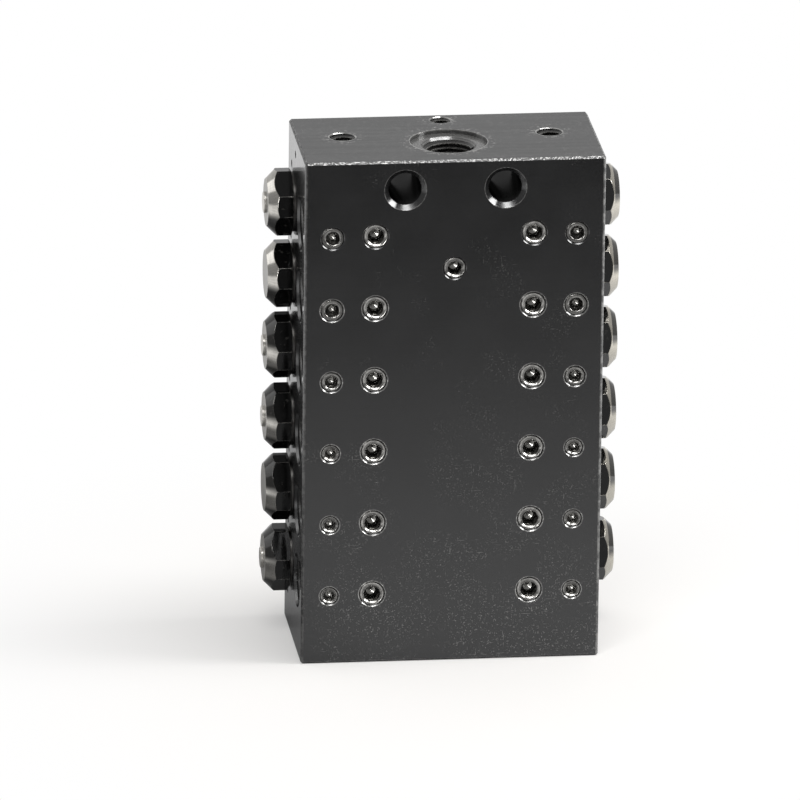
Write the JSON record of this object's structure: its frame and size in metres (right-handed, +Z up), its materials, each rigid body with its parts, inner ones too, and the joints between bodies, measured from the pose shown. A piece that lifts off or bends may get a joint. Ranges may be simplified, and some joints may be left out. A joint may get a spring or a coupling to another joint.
{
  "type": "lubricant divider block",
  "caption": "Progressive lubricant divider: drilled steel block with piston bores closed by side caps, plug screws, outlet ports and an inlet.",
  "frame": {"origin": "middle of the block's underside", "axes": "+X right along the piston bores, +Y from the front face to the back, +Z up to the inlet"},
  "size_m": [0.0711, 0.03, 0.105],
  "materials": {
    "block": "black oxide, fine ground",
    "cap": "glossy black oxide",
    "gasket": "plain steel",
    "spool": "ground and lapped",
    "plug": "satin"
  },
  "bodies": {
    "housing": {"block": "block", "left_cap_1": "cap", "left_gasket_1": "gasket", "left_cap_2": "cap", "left_gasket_2": "gasket", "left_cap_3": "cap", "left_gasket_3": "gasket", "left_cap_4": "cap", "left_gasket_4": "gasket", "left_cap_5": "cap", "left_gasket_5": "gasket", "left_cap_6": "cap", "left_gasket_6": "gasket", "right_cap_1": "cap", "right_gasket_1": "gasket", "right_cap_2": "cap", "right_gasket_2": "gasket", "right_cap_3": "cap", "right_gasket_3": "gasket", "right_cap_4": "cap", "right_gasket_4": "gasket", "right_cap_5": "cap", "right_gasket_5": "gasket", "right_cap_6": "cap", "right_gasket_6": "gasket", "left_inner_plugs": "plug", "left_outer_plugs": "plug", "right_inner_plugs": "plug", "right_outer_plugs": "plug", "centre_plug": "plug", "supply_plug": "plug"},
    "piston_1": {"spool_1": "spool"},
    "piston_2": {"spool_2": "spool"},
    "piston_3": {"spool_3": "spool"},
    "piston_4": {"spool_4": "spool"},
    "piston_5": {"spool_5": "spool"},
    "piston_6": {"spool_6": "spool"}
  },
  "joints": [
    {"name": "piston_1_slide", "type": "slide", "parent": "housing", "child": "piston_1", "axis": [1, 0, 0], "range_m": [-0.0039, 0.0039]},
    {"name": "piston_2_slide", "type": "slide", "parent": "housing", "child": "piston_2", "axis": [1, 0, 0], "range_m": [-0.0039, 0.0039]},
    {"name": "piston_3_slide", "type": "slide", "parent": "housing", "child": "piston_3", "axis": [1, 0, 0], "range_m": [-0.0039, 0.0039]},
    {"name": "piston_4_slide", "type": "slide", "parent": "housing", "child": "piston_4", "axis": [1, 0, 0], "range_m": [-0.0039, 0.0039]},
    {"name": "piston_5_slide", "type": "slide", "parent": "housing", "child": "piston_5", "axis": [1, 0, 0], "range_m": [-0.0039, 0.0039]},
    {"name": "piston_6_slide", "type": "slide", "parent": "housing", "child": "piston_6", "axis": [1, 0, 0], "range_m": [-0.0039, 0.0039]}
  ]
}
